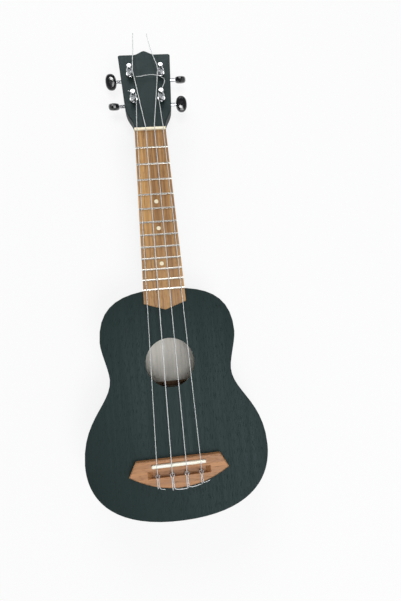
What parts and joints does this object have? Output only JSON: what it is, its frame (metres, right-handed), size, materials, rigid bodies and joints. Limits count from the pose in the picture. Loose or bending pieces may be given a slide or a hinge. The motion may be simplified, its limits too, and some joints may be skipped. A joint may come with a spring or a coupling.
{
  "type": "soprano ukulele",
  "caption": "Four-string soprano ukulele with a hollow waisted body, fretted neck and geared tuners, lying on its back.",
  "frame": {"origin": "on the back's outer face, under the middle of the body", "axes": "+Z out of the soundboard, +Y towards the headstock, +X the first string's side"},
  "size_m": [0.1852, 0.534, 0.0724],
  "materials": {
    "stained_top": "open-pore black stain",
    "pale_wood": "bare",
    "brown_wood": "bare",
    "board_wood": "oiled",
    "bone": "polished cream",
    "fret_metal": "polished",
    "nylon": "clear",
    "chrome": "polished",
    "button_black": "gloss"
  },
  "bodies": {
    "instrument": {"soundboard": "stained_top", "back": "stained_top", "side_bass": "stained_top", "side_treble": "stained_top", "neck": "stained_top", "neck_block": "pale_wood", "tail_block": "pale_wood", "top_lining_bass": "pale_wood", "top_lining_treble": "pale_wood", "back_lining_bass": "pale_wood", "back_lining_treble": "pale_wood", "soundboard_brace_front": "pale_wood", "soundboard_brace_rear": "pale_wood", "bridge_plate": "pale_wood", "back_brace_front": "brown_wood", "back_brace_rear": "brown_wood", "fretboard": "board_wood", "bridge": "board_wood", "nut": "bone", "saddle": "bone", "fret_1": "fret_metal", "fret_2": "fret_metal", "fret_3": "fret_metal", "fret_4": "fret_metal", "fret_5": "fret_metal", "fret_6": "fret_metal", "fret_7": "fret_metal", "fret_8": "fret_metal", "fret_9": "fret_metal", "fret_10": "fret_metal", "fret_11": "fret_metal", "fret_12": "fret_metal", "dot_5": "bone", "dot_7": "bone", "dot_10": "bone", "string_g": "nylon", "tuner_g_plate": "chrome", "tuner_g_bushing": "chrome", "string_c": "nylon", "tuner_c_plate": "chrome", "tuner_c_bushing": "chrome", "string_e": "nylon", "tuner_e_plate": "chrome", "tuner_e_bushing": "chrome", "string_a": "nylon", "tuner_a_plate": "chrome", "tuner_a_bushing": "chrome"},
    "worm_g": {"tuner_g_worm_shaft": "chrome", "tuner_g_button": "button_black"},
    "post_g": {"tuner_g_post": "chrome"},
    "worm_c": {"tuner_c_worm_shaft": "chrome", "tuner_c_button": "button_black"},
    "post_c": {"tuner_c_post": "chrome"},
    "worm_e": {"tuner_e_worm_shaft": "chrome", "tuner_e_button": "button_black"},
    "post_e": {"tuner_e_post": "chrome"},
    "worm_a": {"tuner_a_worm_shaft": "chrome", "tuner_a_button": "button_black"},
    "post_a": {"tuner_a_post": "chrome"}
  },
  "joints": [
    {"name": "tuner_g_turn", "type": "hinge", "parent": "instrument", "child": "worm_g", "pos_m": [-0.01527, 0.33535, 0.03558], "axis": [1, 0, 0], "continuous": true},
    {"name": "tuner_c_turn", "type": "hinge", "parent": "instrument", "child": "worm_c", "pos_m": [-0.01726, 0.36993, 0.0285], "axis": [1, 0, 0], "continuous": true},
    {"name": "tuner_e_turn", "type": "hinge", "parent": "instrument", "child": "worm_e", "pos_m": [0.01726, 0.36993, 0.0285], "axis": [1, 0, 0], "continuous": true},
    {"name": "tuner_a_turn", "type": "hinge", "parent": "instrument", "child": "worm_a", "pos_m": [0.01527, 0.33535, 0.03558], "axis": [1, 0, 0], "continuous": true},
    {"name": "post_g_turn", "type": "hinge", "parent": "instrument", "child": "post_g", "pos_m": [-0.01527, 0.33222, 0.05317], "axis": [0, 0.2007, 0.9796], "continuous": true},
    {"name": "post_c_turn", "type": "hinge", "parent": "instrument", "child": "post_c", "pos_m": [-0.01726, 0.3668, 0.04609], "axis": [0, 0.2007, 0.9796], "continuous": true},
    {"name": "post_e_turn", "type": "hinge", "parent": "instrument", "child": "post_e", "pos_m": [0.01726, 0.3668, 0.04609], "axis": [0, 0.2007, 0.9796], "continuous": true},
    {"name": "post_a_turn", "type": "hinge", "parent": "instrument", "child": "post_a", "pos_m": [0.01527, 0.33222, 0.05317], "axis": [0, 0.2007, 0.9796], "continuous": true}
  ],
  "couplings": [
    {"joint": "post_g_turn", "follows": "tuner_g_turn", "ratio": 0.071429},
    {"joint": "post_c_turn", "follows": "tuner_c_turn", "ratio": 0.071429},
    {"joint": "post_e_turn", "follows": "tuner_e_turn", "ratio": 0.071429},
    {"joint": "post_a_turn", "follows": "tuner_a_turn", "ratio": 0.071429}
  ]
}
